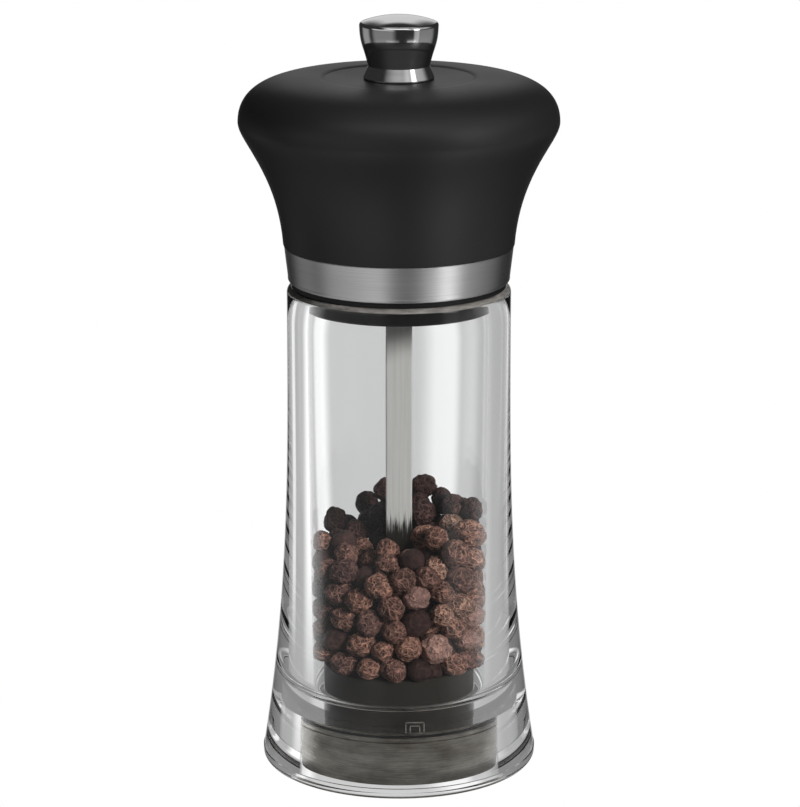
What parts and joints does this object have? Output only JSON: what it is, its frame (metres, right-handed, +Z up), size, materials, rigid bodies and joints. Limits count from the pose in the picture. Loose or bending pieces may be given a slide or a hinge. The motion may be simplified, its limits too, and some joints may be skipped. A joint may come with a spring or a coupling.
{
  "type": "pepper mill",
  "caption": "Clear-bodied hand pepper mill with a flared black crown that turns to grind and a chrome knob that sets the coarseness and frees the crown for filling.",
  "frame": {"origin": "centre of the foot's resting ring, on the surface that the mill stands on", "axes": "+Z up along the mill's axis; -Y is the side with the locating notch, seen from the front"},
  "size_m": [0.0602, 0.0602, 0.1451],
  "materials": {
    "clear_acrylic": "clear polished acrylic, thick wall",
    "cup_steel": "brushed steel, seen through the foot",
    "seal_rubber": "soft black rubber",
    "band_steel": "fine circumferential brushing",
    "black_matte": "soft matte black",
    "black_plastic": "moulded black plastic",
    "mechanism_plastic": "moulded dark plastic",
    "cone_steel": "hardened steel, machined",
    "ring_steel": "hardened steel, machined",
    "zinc_steel": "zinc plated",
    "spring_steel": "bright spring wire",
    "shaft_aluminium": "drawn aluminium, lightly scratched",
    "bush_plastic": "natural acetal",
    "washer_nylon": "natural nylon",
    "chrome": "mirror chrome",
    "brass": "turned brass",
    "pepper": "wrinkled dried berries, black to red brown"
  },
  "bodies": {
    "mill_body": {"clear_body": "clear_acrylic", "base_cup": "cup_steel", "cup_seal": "seal_rubber", "grinder_housing": "mechanism_plastic", "grinding_ring": "ring_steel", "bridge_plate": "black_plastic", "plate_screws": "zinc_steel", "base_ring": "black_plastic", "base_screws": "zinc_steel", "peppercorns": "pepper"},
    "bush": {"guide_bush": "bush_plastic", "bush_clip": "spring_steel"},
    "spindle": {"drive_shaft": "shaft_aluminium", "grinding_cone": "cone_steel", "cone_washer": "zinc_steel", "cone_screw": "zinc_steel", "spring_seat": "zinc_steel", "lift_spring": "spring_steel"},
    "crown": {"crown_shell": "black_matte", "steel_band": "band_steel", "crown_liner": "black_plastic", "drive_plate": "zinc_steel", "drive_screws": "zinc_steel"},
    "washer": {"knob_washer": "washer_nylon"},
    "knob": {"knob": "chrome", "knob_insert": "brass"}
  },
  "joints": [
    {"name": "head_turn", "type": "hinge", "parent": "mill_body", "child": "bush", "pos_m": [0, 0, 0.018], "axis": [0, 0, 1], "continuous": true},
    {"name": "grind_adjust", "type": "slide", "parent": "bush", "child": "spindle", "axis": [0, 0, 1], "range_m": [-0.00121, 0], "deforming": ["lift_spring"]},
    {"name": "crown_lift", "type": "slide", "parent": "bush", "child": "crown", "axis": [0, 0, 1], "range_m": [0, 0.07]},
    {"name": "knob_turn", "type": "hinge", "parent": "crown", "child": "washer", "pos_m": [0, 0, 0.1332], "axis": [0, 0, 1], "range_deg": [0, 540]},
    {"name": "knob_lift", "type": "slide", "parent": "washer", "child": "knob", "axis": [0, 0, 1], "range_m": [0, 0.025]}
  ],
  "couplings": [
    {"joint": "grind_adjust", "follows": "knob_turn", "m_per_rad": -0.00012732}
  ]
}
